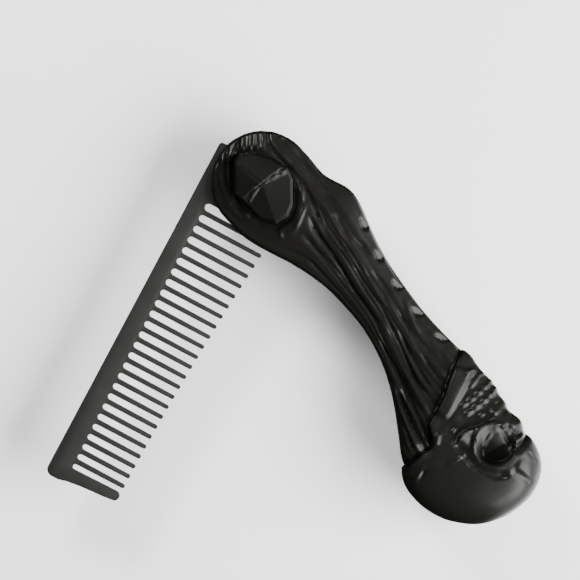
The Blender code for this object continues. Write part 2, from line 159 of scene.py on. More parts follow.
# strand relief in the straightened frame: points (along, across), half width, height
STRANDS = [
    (
        [
            (104, 10), (118, 4), (130, 1.5), (145, -1), (160, -4), (175, -7.5), (190, -9.5), (210, -9),
            (238, -8),
        ],
        1.7, -3.4,
    ),
    ([(246, -15), (265, -14.5), (290, -13), (320, -12.5), (335, -12.5), (350, -13), (366, -13)], 1.6, -3.4),
    ([(111, -7), (122, -8.5), (135, -10), (150, -10), (166, -10.5), (182, -11)], 1.7, -2.0),
    (
        [
            (164, 6), (174, 5.3), (186, 3.5), (205, 4.2), (230, 2.8), (260, 0.8), (290, -0.2), (302, 0.8),
            (320, 6.5),
        ],
        1.5, -2.3,
    ),
    ([(246, 7), (270, 6.4), (290, 8), (302, 9.5), (318, 12.5)], 1.4, -2.3),
    ([(176, 11), (190, 12), (206, 12.4), (222, 12)], 1.4, -1.4),
    ([(228, 17), (250, 17.2), (262, 20.2), (276, 24.5), (292, 30), (304, 35)], 1.5, -2.0),
    ([(276, 16.5), (290, 18.5), (302, 21), (316, 26)], 1.4, -2.2),
    ([(150, 25.5), (160, 26), (172, 24.8)], 1.4, -1.6),
    ([(184, 17), (200, 18), (214, 19.2)], 1.4, -1.4),
    ([(278, 32.5), (290, 35), (302, 39.5)], 1.3, -1.6),
    ([(302, -20.3), (320, -21.2), (345, -22), (362, -20)], 1.3, -2.6),
    ([(326, -28.6), (340, -30), (352, -31), (363, -31)], 1.2, -2.0),
    ([(338, -35.5), (350, -37), (363, -37.5)], 1.2, -2.0),
    ([(352, -25.2), (363, -25)], 1.1, -1.8),
    ([(92, 36), (105, 36.5), (118, 36)], 1.5, -1.6),
    ([(118, 26), (126, 27.5), (138, 24), (150, 21)], 1.5, -1.8),
    ([(100, 24.5), (112, 20.5), (124, 14), (140, 11.5), (156, 9.5)], 1.5, -1.6),
    ([(104, 30), (118, 31.5), (134, 31)], 1.3, -1.0),
    ([(130, -22), (150, -24), (170, -23.5)], 1.6, -1.0),
    ([(228, 30), (246, 29), (258, 31.5), (270, 36)], 1.4, -2.0),
    ([(228, -3), (240, -4), (254, -5)], 2.6, 1.4),
    ([(280, -4), (300, -4.5), (320, -3), (336, -2)], 2.6, 2.0),
    ([(266, -18), (290, -17.5), (326, -16.5)], 2.4, 1.2),
    ([(300, -16.6), (320, -16.2), (345, -16.4), (368, -16.6)], 2.4, 2.8),
    ([(292, -22), (318, -24.8), (335, -26.5), (348, -27), (368, -27.5)], 2.4, 3.0),
    ([(346, -34), (364, -34)], 1.8, 2.0),
    ([(350, -40), (364, -42)], 1.8, 2.0),
    ([(178, 8), (192, 8), (206, 7.4), (226, 8)], 1.6, 1.1),
    ([(264, 4), (284, 3.6), (300, 5), (316, 10)], 1.5, 1.2),
    ([(254, 10), (266, 10.6), (278, 13.4)], 1.6, 1.2),
    ([(222, 27.5), (236, 24.5), (246, 23.6), (258, 25)], 1.8, 1.4),
    ([(312, 20), (322, 17)], 3.0, 1.8),
    ([(298, 37), (305, 34)], 2.6, 1.4),
    ([(291, 46), (297, 43)], 2.4, 1.4),
    ([(122, 21), (130, 20), (140, 16.5), (152, 14.6)], 1.8, 1.0),
    ([(132, -5), (148, -6), (166, -8)], 2.0, 0.8),
    ([(126, 10.5), (140, 8.5), (156, 5)], 1.6, 0.9),
    ([(104, 20.5), (114, 19)], 1.6, 1.0),
]

# head relief in the photograph's frame: points, half width, height
HEAD_LOCKS = [
    ([(227, 140), (226.5, 150), (226, 166), (227, 186), (233, 204), (244, 219)], 1.7, -2.4),
    ([(237, 134), (236.5, 146), (235, 156), (231, 168), (231, 188), (237, 203), (250, 219)], 1.9, -3.0),
    ([(266, 128), (268, 142), (276, 154), (290, 168), (304, 184), (311, 199), (320, 222)], 1.8, -2.8),
    ([(220, 148), (217, 166), (218, 188), (225, 205)], 1.4, -1.4),
    ([(275, 129), (283, 142), (300, 158), (318, 178), (330, 196)], 1.5, -1.5),
    ([(278, 229), (282, 240)], 1.5, 2.4),
    ([(287, 229), (291, 236)], 1.4, 1.2),
    ([(279.5, 216.5), (280.5, 218)], 1.9, 2.2),
    ([(288.5, 215), (289, 217)], 1.9, 2.2),
]
# flat bright locks by the head's edge: centre, radii, turn in degrees, height, rise in x and in y
HEAD_FACETS = [
    ((230.3, 151), (2.8, 12), 6, 0.6, -0.08, 0.2), ((223.2, 157), (1.7, 6.5), 2, 0.6, -0.08, 0.2),
    ((242.2, 142), (1.8, 10), 2, 1.2, 0.06, 0.1), ((250.0, 140.5), (1.8, 10), 2, 1.2, 0.03, 0.1),
    ((256.2, 139.5), (1.7, 9.5), 0, 1.2, 0, 0.1), ((262.4, 138.5), (1.8, 9), 0, 1.2, 0, 0.1),
    ((301.4, 196), (1.8, 6.5), -6, 1.4, -0.12, -0.04), ((299.5, 218), (1.9, 11.5), 23, 1.5, -0.12, -0.04),
]

# skull relief in the skull's own frame: towards the face, then towards the crown, which is 30 degrees off the
# photograph's axes
SKULL_O = (470.0, 445.0)
SKULL_COS, SKULL_SIN = 0.866, 0.5
# how far the whole skull stands above the beard
SKULL_LIFT = 3.2
# soft lines: points, half width, height
SKULL_LINES = [
    ([(-48, -6), (-40, -3), (-32, 1)], 2.8, -0.9),
    ([(37, 23), (45, 21.5), (54, 17)], 4.0, -5.0),
    ([(39, 1), (42, 7), (46, 12)], 3.2, -5.0),
    ([(35, 15), (35, 6), (33, -3)], 2.2, -2.5),
    ([(44, -14), (43, -24)], 2.2, -2.4),
]
# banks: points, the length of their fading ends, then distance to the left of the line and height there
SKULL_BANKS = [
    (
        [(-14, -15), (-12, -6), (-10.5, 3), (-9, 14), (-6, 22), (-1, 30), (5, 37), (12, 40.5), (18, 42)],
        7, [(-8.5, 0), (-3, -3.2), (0.8, -3.4), (3, 0)],
    ),
    (
        [(-1, 8), (1, 0), (6, -6.5), (13, -11), (22, -12.8), (30, -10.5), (36, -4), (39.5, 4), (42, 12)],
        7, [(-2.5, 0), (0, 2.4), (7, 0)],
    ),
    ([(-13, -9), (-6, -14.5), (3, -16.5), (10, -15)], 5, [(-2.5, 0), (0, 2.5), (11, -3.0), (13.5, 0)]),
    ([(8, 6.5), (14, 1.5), (23, -2.5)], 3, [(-1.6, 0), (0, 1.3), (2.8, 0)]),
    (
        [(-15, -12), (-5, -18.5), (4, -20), (12, -17.5), (24, -16), (35, -15)],
        6, [(-14, 0), (-4, -3), (1, -3.2), (3, 0)],
    ),
    ([(-31, -19.5), (-22, -29.5)], 2, [(-2, 0), (0, 2.5), (5, -0.2), (6, 0)]),
    ([(-11, -23), (-5, -25)], 1.5, [(-1.5, 0), (0, 1.5), (3, 0)]),
    (
        [(-12, -38.5), (-4, -41), (4, -45.5), (14, -51), (22, -56), (29, -62), (35, -68)],
        4, [(-16, 3.6), (-11, 3.2), (0, 2.2), (4.8, -0.2), (6, 0)],
    ),
    ([(27, -51.5), (35, -54.5), (40, -57.5), (46, -55.5)], 2, [(-1.5, 0), (0, 1.4), (2.6, 0)]),
    ([(25, 37), (28.5, 44), (33, 54), (35, 60)], 4, [(-13, 0), (-3, 1.3), (3, -1.7), (8, 0)]),
    ([(46, 31), (47.5, 40), (48, 47)], 2, [(-3, 0), (-1.4, 0.7), (1.2, -0.9), (2.5, 0)]),
]
# hollows: centre, radii, softness, height (below 0: sunken)
SKULL_HOLLOWS = [
    ((-36, 16), (27, 13), 0.35, -1.0),
    ((-13, -32), (9, 8), 0.3, -2.2),
    ((30, -38), (24, 16), 0.14, -3.0),
]
# facets: centre, radii, turn in degrees, height at the centre, rise towards the face and towards the crown
SKULL_FACETS = [
    ((34, -62), (4.5, 4), 0, 1.5, 0, -0.5),
    ((45, -9), (2.5, 6), 0, 1.0, 0.5, -0.35), ((50, 7), (3, 5), 0, 0.5, 0.6, -0.3),
    ((36, -17.5), (3, 2.4), 0, 1.0, 0, -0.45), ((24, -22.5), (3, 2), 0, 1.0, 0, -0.45),
    ((-59, -1.2), (7, 2.6), -25, 0.4, -0.55, -0.5), ((-16, 3), (5, 1.8), -10, 0.9, 0, -0.55),
]
# the upper row of teeth and then the lower one, from the back: place, half width and half height
SKULL_TEETH = [
    (14, -30.4, 3.7, 2.6), (24, -32, 3.7, 2.6), (34, -33, 3.6, 2.7), (42, -34.5, 3.0, 2.8),
    (48, -36.5, 2.2, 2.6), (14, -39.6, 3.7, 2.5), (23.2, -40.6, 3.6, 2.6), (33, -42.4, 3.6, 2.7),
    (41, -44, 3.0, 2.6), (47, -45.5, 2.2, 2.4),
]
# the eye socket: centre, radius, and the floor's height below the skull at the centre's place along
SOCKET_C = (20, 9.5)
SOCKET_R = 21.5
SOCKET_FLOOR = -8.5
# the line where the skull meets the beard
SKULL_EDGE = [
    (-90, -14), (-67, -16), (-50, -19), (-36, -20), (-31, -27), (-27, -42), (-15, -47.5), (0, -57),
    (12, -68), (24, -78), (36, -85.5), (50, -93),
]
# the share of half a ring's points up to each line of flow
LANE_SHARE = [0, 0.17, 0.33, 0.45, 0.57, 0.68, 0.82, 1]
# the five scoops in the round edge: how far along each one is; then their half length, half width and inset
SCOOPS = [146.5, 176.5, 207.5, 238.5, 270.0]
SCOOP_LENGTH, SCOOP_WIDTH, SCOOP_INSET = 6.8, 5.4, 4.6

# the sky's brightness against the height of the direction: dark straight above and below the floor
SKY = [(-1, 0.3), (1, 1.5), (0.0, 0.5), (0.12, 2.2), (0.35, 5.2), (0.6, 5.2), (0.85, 2.2)]

# a bright card low down at the right: its direction in plan; then where it starts and is full, as a cosine
# round and as a height; and its power
CARD_TURN = -20.0
CARD_ROUND = (0.55, 0.9)
CARD_UP = (0.7, 0.1)
CARD_POWER = 105.0
# soft boxes: name, direction in plan, angle down from straight above, distance, size and power
LIGHTS = [("key", -20, 52, 0.5, (0.52, 0.28), 9.2), ("back_left", 118, 54, 0.45, (0.2, 0.09), 2.6)]
FLOOR_GREY = 0.96
FLOOR_DROP = 0.0002

# the camera looks straight down at the middle of the photograph
PICTURE_PX = 580
MIDDLE_PX = 289.5
CAMERA_UP = 0.9
SENSOR_MM = 36

# colours: the handle and the studs, then the blade's two shades
BLACK_COLOUR = (0.0054, 0.0053, 0.0043)
BLACK_SPECULAR = 0.18
GREY_COLOURS = [(0.013, 0.013, 0.0121), (0.0166, 0.0166, 0.0155)]

# stud, in mm: the rim in plan, the place and height of its point, the edge's height, and the foot
STUD_CORNERS = [
    (-7.1, 5.9), (-5.2, 7.4), (-2.2, 7.8), (2.0, 6.6), (6.3, 4.1), (7.6, 1.2),
    (7.6, -5.0), (6.4, -8.0), (3.5, -9.8), (-0.5, -8.6), (-4.5, -4.75), (-7.0, -2.5),
]
STUD_APEX = (0.0, 0.1)
STUD_TOP = 10.8
STUD_SHOULDER = 8.6
STUD_BASE = 5.5
# the share of the way to the rim at which the bevelled edge starts, and the edge's own share
STUD_EDGE_START, STUD_EDGE_SHARE = 0.92, 0.08
# the painted shade over the whole of each stud, the same everywhere: a darker colour and less shine
STUD_PAINTED_SHADE = 0.45
# where the four ridges meet the rim: x, y and height
STUD_RIDGE_ENDS = [(-5.3, 4.1, 9.85), (5.6, 3.75, 9.95), (3.0, -8.5, 9.9), (-4.3, -4.1, 9.95)]
# ribs along two ridges and a groove along a third: points, half width and height
STUD_RIBS = [
    ([(0.6, 0.5), (3.0, 2.0)], 0.34, 0.2),
    ([(2.4, 1.6), (4.9, 3.1)], 0.5, 0.28),
    ([(4.9, 3.05), (5.3, 3.3)], 0.6, 0.3),
    ([(-0.5, -0.4), (-2.4, -2.1)], 0.36, 0.2),
    ([(-1.6, -1.4), (-4.3, -3.8)], 0.55, 0.3),
    ([(-1.9, -2.0), (-3.1, -4.2)], 0.4, 0.24),
    ([(-0.4, 0.5), (-5.0, 3.9)], 0.35, -0.12),
]


# helpers


def smooth_table(rows, at):
    """The rows' columns after the first, read along a smooth curve through them."""
    rows = np.asarray(rows, float)
    x, y = rows[:, 0], rows[:, 1:]
    h = np.diff(x)[:, None]
    d = np.diff(y, axis=0) / h
    m = np.vstack([d[:1], (d[1:] * h[:-1] + d[:-1] * h[1:]) / (h[1:] + h[:-1]), d[-1:]])
    at = np.clip(np.asarray(at, float), x[0], x[-1])
    i = np.clip(np.searchsorted(x, at, side="right") - 1, 0, len(x) - 2)
    hh = (x[i + 1] - x[i])[:, None]
    t = ((at - x[i]) / hh[:, 0])[:, None]
    return (
        (2 * t**3 - 3 * t**2 + 1) * y[i]
        + (t**3 - 2 * t**2 + t) * hh * m[i]
        + (3 * t**2 - 2 * t**3) * y[i + 1]
        + (t**3 - t**2) * hh * m[i + 1]
    )


def along(u, v, points):
    """How far left of a line each place is, how far along it the nearest point is, and its length."""
    left, run = np.full(np.shape(u), 1e9), 0.0
    where = np.zeros(np.shape(u))
    for (u0, v0), (u1, v1) in zip(points, points[1:]):
        du, dv = u1 - u0, v1 - v0
        length = math.hypot(du, dv)
        t = np.clip(((u - u0) * du + (v - v0) * dv) / length**2, 0, 1)
        d = np.hypot(u - u0 - t * du, v - v0 - t * dv)
        nearer = d < np.abs(left)
        left = np.where(nearer, np.where(du * (v - v0) > dv * (u - u0), d, -d), left)
        where = np.where(nearer, run + t * length, where)
        run += length
    return left, where, run


def distance(u, v, points):
    """How far each place is from a line through the points."""
    return np.abs(along(u, v, points)[0])


def near(u, v, points, reach):
    """The places within reach of a line's box."""
    pu, pv = zip(*points)
    return (u > min(pu) - reach) & (u < max(pu) + reach) & (v > min(pv) - reach) & (v < max(pv) + reach)


def marks(u, v, table, taper=0, cusp=False):
    """The sum of soft lines that stand up or dip down; a cusp is a sharp valley with rounded banks."""
    out = np.zeros(np.shape(u))
    for points, half_width, height in table:
        box = near(u, v, points, 4 * half_width)
        left, where, length = along(u[box], v[box], points)
        d = left / half_width
        fade = np.clip(np.minimum(where, length - where) / taper, 0, 1) if taper else 1.0
        out[box] += height * fade * (np.exp(0.3 - 0.9 * np.hypot(d, 0.35)) if cusp else np.exp(-(d**2)))
    return out


def banks(u, v, table):
    """The sum of lines that each have a profile of their own across them."""
    out = np.zeros(np.shape(u))
    for points, taper, profile in table:
        box = near(u, v, points, 14)
        left, where, length = along(u[box], v[box], points)
        out[box] += np.clip(np.minimum(where, length - where) / taper, 0, 1) * np.interp(left, *zip(*profile))
    return out


def facets(u, v, table):
    """The sum of small tilted faces with soft edges."""
    out = np.zeros(np.shape(u))
    for (cu, cv), (ru, rv), deg, height, rise_u, rise_v in table:
        c, n = math.cos(math.radians(deg)), math.sin(math.radians(deg))
        du, dv = u - cu, v - cv
        d = (np.abs((du * c + dv * n) / ru) ** 2.6 + np.abs((dv * c - du * n) / rv) ** 2.6) ** (1 / 2.6)
        out += (height + rise_u * du + rise_v * dv) * step((1 - d) * min(ru, rv) / 0.45)
    return out


def step(x):
    """A soft step from 0 to 1 about 0."""
    return 1 / (1 + np.exp(-np.clip(x, -40, 40)))


def ramp(x, start, end):
    """A straight ramp from 0 at the start to 1 at the end."""
    return np.clip((x - start) / (end - start), 0, 1)


def ease(x, start, end):
    """A smooth ramp from 0 at the start to 1 at the end."""
    t = ramp(x, start, end)
    return t * t * (3 - 2 * t)


def bell(x):
    return np.exp(-(x**2))


def to_skull(x, y):
    """From the photograph's pixels to the skull's own frame."""
    f = (x - SKULL_O[0]) * SKULL_COS - (y - SKULL_O[1]) * SKULL_SIN
    g = (x - SKULL_O[0]) * SKULL_SIN + (y - SKULL_O[1]) * SKULL_COS
    return f, g


def solid(name, verts, faces):
    """An object in the scene with this mesh, its faces turned outwards."""
    mesh = bpy.data.meshes.new(name)
    mesh.from_pydata(verts, [], faces)
    ob = bpy.data.objects.new(name, mesh)
    bpy.context.scene.collection.objects.link(ob)
    bm = bmesh.new()
    bm.from_mesh(mesh)
    bmesh.ops.recalc_face_normals(bm, faces=bm.faces)
    bm.to_mesh(mesh)
    bm.free()
    return ob


def mesh_piece(name, verts, faces, mat, body, replaced):
    """A visible piece that rides on a body and stands for one CAD node."""
    ob = solid(name, verts, faces)
    ob.data.materials.append(mat)
    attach(ob, body)
    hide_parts(replaced)
    return ob


def place(x, y, z):
    """From the plan's pixels, and height in pixels above the blade's middle, to the row frame."""
    return np.stack(
        [PIVOT.x + (x - PIVOT_PX[0]) * PX, PIVOT.y - (y - PIVOT_PX[1]) * PX, PIVOT.z + z * PX], axis=-1
    )


def place_mm(x, y, z):
    """From mm about the pivot to the row frame."""
    return (PIVOT.x + x * MM, PIVOT.y + y * MM, PIVOT.z + z * MM)


def prism_mesh(plan, z0, z1):
    """The corners and faces of an upright prism, from its plan and two heights in mm."""
    n = len(plan)
    verts = [place_mm(x, y, z) for z in (z0, z1) for x, y in plan]
    faces = [tuple(range(n)), tuple(range(n, 2 * n))]
    faces += [(i, (i + 1) % n, n + (i + 1) % n, n + i) for i in range(n)]
    return verts, faces


def prism(name, plan, z0, z1):
    return solid(name, *prism_mesh(plan, z0, z1))


def cut(target, cutters):
    """Takes the cutters away from the target and removes them."""
    for c in cutters:
        mod = target.modifiers.new(c.name, "BOOLEAN")
        mod.operation = "DIFFERENCE"
        mod.solver = "EXACT"
        mod.object = c
    bake(target)
    for c in cutters:
        bpy.data.objects.remove(c)


def bake(ob):
    """Makes the modifiers' result the object's own mesh."""
    bpy.context.view_layer.update()
    made = bpy.data.meshes.new_from_object(ob.evaluated_get(bpy.context.evaluated_depsgraph_get()))
    old = ob.data
    ob.modifiers.clear()
    ob.data = made
    bpy.data.meshes.remove(old)


def shade(ob, degrees):
    """Smooth shading, with the edges that turn by more than this left sharp."""
    mesh = ob.data
    mesh.shade_smooth()
    mesh.set_sharp_from_angle(angle=math.radians(degrees))


def mark_painted_shade(ob, values):
    """Stores how much painted shade each corner gets, which the black plastic reads."""
    ob.data.attributes.new("painted_shade", "FLOAT", "POINT").data.foreach_set("value", values)


def turned(points, degrees):
    c, s = math.cos(math.radians(degrees)), math.sin(math.radians(degrees))
    return [(x * c - y * s, x * s + y * c) for x, y in points]


def arc(cx, cy, r, deg0, deg1, count):
    t = np.radians(np.linspace(deg0, deg1, count))
    return [(cx + r * math.cos(a), cy + r * math.sin(a)) for a in t]


# materials


def principled(name, colour, rough, **extra):
    """A new material, its nodes and links, and its shader with these constants."""
    mat = bpy.data.materials.new(name)
    mat.use_nodes = True
    nodes = mat.node_tree.nodes
    shader = nodes["Principled BSDF"]
    shader.inputs["Base Color"].default_value = (*colour, 1)
    shader.inputs["Roughness"].default_value = rough
    for key, value in extra.items():
        shader.inputs[key.replace("_", " ")].default_value = value
    return mat, nodes, mat.node_tree.links, shader


def black_plastic():
    """Glossy black moulded plastic: faint cloudy change of gloss and fine pitting."""
    mat, nodes, links, shader = principled(
        "black_plastic", BLACK_COLOUR, 0.36, IOR=1.48, Specular_IOR_Level=BLACK_SPECULAR
    )
    coord = nodes.new("ShaderNodeTexCoord")
    cloud = nodes.new("ShaderNodeTexNoise")
    cloud.inputs["Scale"].default_value = 90
    cloud.inputs["Detail"].default_value = 5
    gloss = nodes.new("ShaderNodeMapRange")
    gloss.inputs["From Min"].default_value = 0.3
    gloss.inputs["From Max"].default_value = 0.7
    gloss.inputs["To Min"].default_value = 0.3
    gloss.inputs["To Max"].default_value = 0.4
    fine = nodes.new("ShaderNodeTexNoise")
    fine.inputs["Scale"].default_value = 1400
    fine.inputs["Detail"].default_value = 3
    bump = nodes.new("ShaderNodeBump")
    bump.inputs["Strength"].default_value = 0.12
    bump.inputs["Distance"].default_value = 0.00006
    # painted shade: grooves see less of the light, so there, and where the mesh stores painted shade, the
    # base colour is darker and the shine less
    open_sky = nodes.new("ShaderNodeAmbientOcclusion")
    open_sky.samples = 8
    open_sky.only_local = True
    open_sky.inputs["Distance"].default_value = 0.003
    painted_shade = nodes.new("ShaderNodeAttribute")
    painted_shade.attribute_name = "painted_shade"
    # the share of colour and shine left after the stored painted shade
    unshaded_share = nodes.new("ShaderNodeMath")
    unshaded_share.operation = "MULTIPLY_ADD"
    unshaded_share.inputs[1].default_value = -0.7
    unshaded_share.inputs[2].default_value = 1.0
    both = nodes.new("ShaderNodeMath")
    both.operation = "MULTIPLY"
    kept = nodes.new("ShaderNodeMapRange")
    kept.inputs["From Min"].default_value = 0.3
    kept.inputs["From Max"].default_value = 0.82
    kept.inputs["To Min"].default_value = 0.6
    # painted shade in the base colour: the less light a place would get, the nearer to black it is mixed
    # of a colour mix, inputs 6 and 7 are the two colours and output 2 is the result
    tint = nodes.new("ShaderNodeMix")
    tint.data_type = "RGBA"
    tint.inputs[6].default_value = (0.0, 0.0, 0.0, 1)
    tint.inputs[7].default_value = (*BLACK_COLOUR, 1)
    # painted shade in the reflections too: less shine where the colour is darkened
    shine = nodes.new("ShaderNodeMath")
    shine.operation = "MULTIPLY"
    shine.inputs[1].default_value = BLACK_SPECULAR
    links.new(open_sky.outputs["AO"], kept.inputs["Value"])
    links.new(painted_shade.outputs["Fac"], unshaded_share.inputs[0])
    links.new(kept.outputs["Result"], both.inputs[0])
    links.new(unshaded_share.outputs["Value"], both.inputs[1])
    links.new(both.outputs["Value"], tint.inputs[0])
    links.new(tint.outputs[2], shader.inputs["Base Color"])
    links.new(both.outputs["Value"], shine.inputs[0])
    links.new(shine.outputs["Value"], shader.inputs["Specular IOR Level"])
    links.new(coord.outputs["Object"], cloud.inputs["Vector"])
    links.new(coord.outputs["Object"], fine.inputs["Vector"])
    links.new(cloud.outputs["Fac"], gloss.inputs["Value"])
    links.new(gloss.outputs["Result"], shader.inputs["Roughness"])
    links.new(fine.outputs["Fac"], bump.inputs["Height"])
    links.new(bump.outputs["Normal"], shader.inputs["Normal"])
    return mat


def grey_plastic():
    """Matte dark-grey moulded plastic with a fine even grain."""
    mat, nodes, links, shader = principled(
        "grey_plastic", GREY_COLOURS[1], 0.6, IOR=1.46, Specular_IOR_Level=0.14
    )
    coord = nodes.new("ShaderNodeTexCoord")
    cloud = nodes.new("ShaderNodeTexNoise")
    cloud.inputs["Scale"].default_value = 160
    cloud.inputs["Detail"].default_value = 6
    tint = nodes.new("ShaderNodeValToRGB")
    for element, colour, position in zip(tint.color_ramp.elements, GREY_COLOURS, (0.3, 0.7)):
        element.color = (*colour, 1)
        element.position = position
    grain = nodes.new("ShaderNodeTexNoise")
    grain.inputs["Scale"].default_value = 2200
    grain.inputs["Detail"].default_value = 2
    bump = nodes.new("ShaderNodeBump")
    bump.inputs["Strength"].default_value = 0.25
    bump.inputs["Distance"].default_value = 0.00005
    links.new(coord.outputs["Object"], cloud.inputs["Vector"])
    links.new(coord.outputs["Object"], grain.inputs["Vector"])
    links.new(cloud.outputs["Fac"], tint.inputs["Fac"])
    links.new(tint.outputs["Color"], shader.inputs["Base Color"])
    links.new(grain.outputs["Fac"], bump.inputs["Height"])
    links.new(bump.outputs["Normal"], shader.inputs["Normal"])
    return mat


# handle


def half_ring(mid, half, thick, skull, powers, lanes, count):
    """Half a ring from the round edge over the top to the hollow edge, its points following the lanes."""
    u = np.sin(np.linspace(-math.pi / 2, math.pi / 2, 801))
    corner = min(3.4 / max(half, 0.1), 1.0)
    past = ramp(np.abs(u), 1 - corner, 1)
    beard = (1 - 0.45 * u * u) * np.sqrt(1 - past**2)
    power = np.where(u < 0, *powers)
    dome = (1 - np.abs(u) ** power) ** (1 / power)
    z = thick * (beard + (dome - beard) * skull)
    x = mid - half * u
    run = np.r_[0, np.cumsum(np.hypot(np.diff(x), np.diff(z)))]
    length = run[-1]
    if half < 1:
        pick = np.linspace(0, length, count)
    else:
        edges = np.interp(-np.asarray(lanes[::-1], float), -x, run)
        even = np.interp(LANE_SHARE, [0, 1], [0, length])
        where = np.clip(edges, 0.1 * length, 0.9 * length)
        where = 0.75 * where + 0.25 * even[1:-1]
        rows = [(0, 0)] + [(share * (count - 1), r) for share, r in zip(LANE_SHARE[1:-1], where)]
        pick = smooth_table(rows + [(count - 1, length)], np.arange(count))[:, 0]
        pick = np.maximum.accumulate(np.clip(pick, 0, length))
        # a little of the even spacing keeps any two points apart
        pick = 0.96 * pick + 0.04 * np.linspace(0, length, count)
    return np.interp(pick, run, x), np.interp(pick, run, z)


def head_sides(x, y, dx, dy):
    """Where the line across the handle meets the head's circle, on the hollow and the round side."""
    ox, oy = x - HEAD_C[0], y - HEAD_C[1]
    b = ox * dy - oy * dx
    c = ox * ox + oy * oy - HEAD_R**2
    root = np.sqrt(np.maximum(b * b - c, 0))
    return root + b, root - b


def head_dome(x, y):
    """Half the thickness of the round head at a place in plan."""
    r = np.hypot(x - HEAD_C[0], y - HEAD_C[1]) / HEAD_R
    past = ramp(r, 0.93, 1)
    return HEAD_HALF * (1 - 0.42 * r * r) * np.sqrt(1 - past**2)


def socket(f, g):
    """The eye socket: steep walls above, a gentler one below and a floor that falls towards the crown."""
    along_f = f - SOCKET_C[0]
    depth = SOCKET_R - np.hypot(along_f, g - SOCKET_C[1])
    low = step((5.0 - g - 0.2 * along_f) / 3)
    wall = -depth * (2.0 - 1.73 * low)
    floor = SOCKET_FLOOR + 0.17 * along_f + 0.3 * np.clip(13 - g, 0, 30)
    # the higher of the two, with a soft corner between them
    over = np.maximum(wall, floor) + 0.8 * np.log1p(np.exp(-np.abs(wall - floor) / 0.8))
    return np.where(depth > 0, np.minimum(over, 0), 0)


def hair(s, w):
    """Fine waves that run with the lines of flow."""
    flow = smooth_table(FLOW, s[:, 0])
    lane = np.zeros(w.shape)
    for i in range(w.shape[0]):
        lane[i] = np.interp(w[i], flow[i], np.arange(6.0))
        low, high = w[i] < flow[i, 0], w[i] > flow[i, 5]
        lane[i, low] = (w[i, low] - flow[i, 0]) / 10
        lane[i, high] = 5 + (w[i, high] - flow[i, 5]) / 10
    sway = 0.10 * np.sin(s / 37.0 + 1.1 * lane) + 0.05 * np.sin(s / 15.0 + 2.3 * lane)
    out = np.zeros(w.shape)
    for k, (per_lane, amount, shift) in enumerate([(1.4, 1.0, 0.4), (2.6, 0.5, 1.9)]):
        wave = np.sin(math.pi * per_lane * (lane + sway) + shift + 0.5 * np.sin(s / (23.0 + 9 * k) + lane))
        out += amount * (np.abs(wave) ** 0.85 - 0.8)
    return out


def from_stud(x, y):
    """How far outside the stud's rim each place is, in mm, and below 0 inside it."""
    a, b = (x - PIVOT_PX[0]) / PX_PER_MM, -(y - PIVOT_PX[1]) / PX_PER_MM
    corners = STUD_CORNERS + STUD_CORNERS[:1]
    inside = np.zeros(a.shape, bool)
    for (a0, b0), (a1, b1) in zip(corners, corners[1:]):
        crosses = (b0 > b) != (b1 > b)
        inside ^= crosses & (a < (a1 - a0) * (b - b0) / (b1 - b0 + 1e-12) + a0)
    ring = distance(a, b, corners)
    return np.where(inside, -ring, ring)


def beard_relief(s, w, x, y):
    """The strands, the locks on the head, and the groove about the stud."""
    up_left = step((300 - x - y * 0.3) / 3) * step((160 - y) / 2.5) * step((270 - x) / 3)
    curls = bell((x - 300) / 11) * bell((y - 208) / 24)
    calm = step((20 - s) / 6) * 0.5 + up_left + 1.5 * curls
    valleys = [row for row in STRANDS if row[2] < 0]
    crests = [row for row in STRANDS if row[2] > 0]
    s_all = s + 0 * w
    out = marks(s_all, w, valleys, 11, True) + marks(s_all, w, crests, 12)
    out += hair(s, w) * (1 - np.clip(calm, 0, 1))
    rim = np.hypot(x - HEAD_C[0], y - HEAD_C[1]) / HEAD_R
    locks = marks(x, y, HEAD_LOCKS, 7) + facets(x, y, HEAD_FACETS)
    out += locks * np.where(s < 60, ramp(rim, 1.0, 0.95), 1)
    return out - 2.6 * bell((from_stud(x, y) - 0.5) / 0.75)


def skull_relief(f, g):
    """The face, the jaw and the teeth, in the skull's own frame."""
    out = marks(f, g, SKULL_LINES) + banks(f, g, SKULL_BANKS) + facets(f, g, SKULL_FACETS)
    # the front teeth also turn towards the face
    teeth = [((a, b), (ra, rb), 0, 1.6, 0.4 * step((a - 38) / 2), -0.5) for a, b, ra, rb in SKULL_TEETH]
    out += facets(f, g, teeth)
    for (cf, cg), (rf, rg), soft, depth in SKULL_HOLLOWS:
        out += depth * step((1 - np.hypot((f - cf) / rf, (g - cg) / rg)) / soft)
    return out + socket(f, g)


def handle_relief(s, w, x, y):
    """The relief's height above the plain form in pixels, and the painted shade at each place, from 0 to 1.
    """
    f, g = to_skull(x, y)
    side = np.where(g > np.interp(f, *zip(*SKULL_EDGE)), 1.0, -1.0)
    beyond = side * distance(f, g, SKULL_EDGE)
    in_skull = step((beyond - 0.8) / 0.45)
    beard, skull = beard_relief(s, w, x, y), skull_relief(f, g)
    relief = beard * (1 - in_skull) + (skull + SKULL_LIFT) * in_skull
    # painted shade: more the deeper a place lies, plus a band of it along the line where the skull meets the
    # beard
    painted_shade = ramp(-beard * (1 - in_skull) - skull * in_skull, 2.5, 7.5)
    painted_shade = np.clip(painted_shade + 0.9 * bell((beyond - 0.2) / 2.2), 0, 1)
    # the strands dip under the skull's edge, most at its back, where the skull also rounds off
    back = step((-36 - f) / 3)
    dip = np.where(beyond < 1, (1.5 + 2.8 * back) * bell(np.minimum(beyond - 1, 0) / (7 - back)), 0)
    relief -= dip * (1 - in_skull)
    relief -= in_skull * 2.0 * back * bell(np.maximum(beyond, 0) / 7)
    return relief, painted_shade


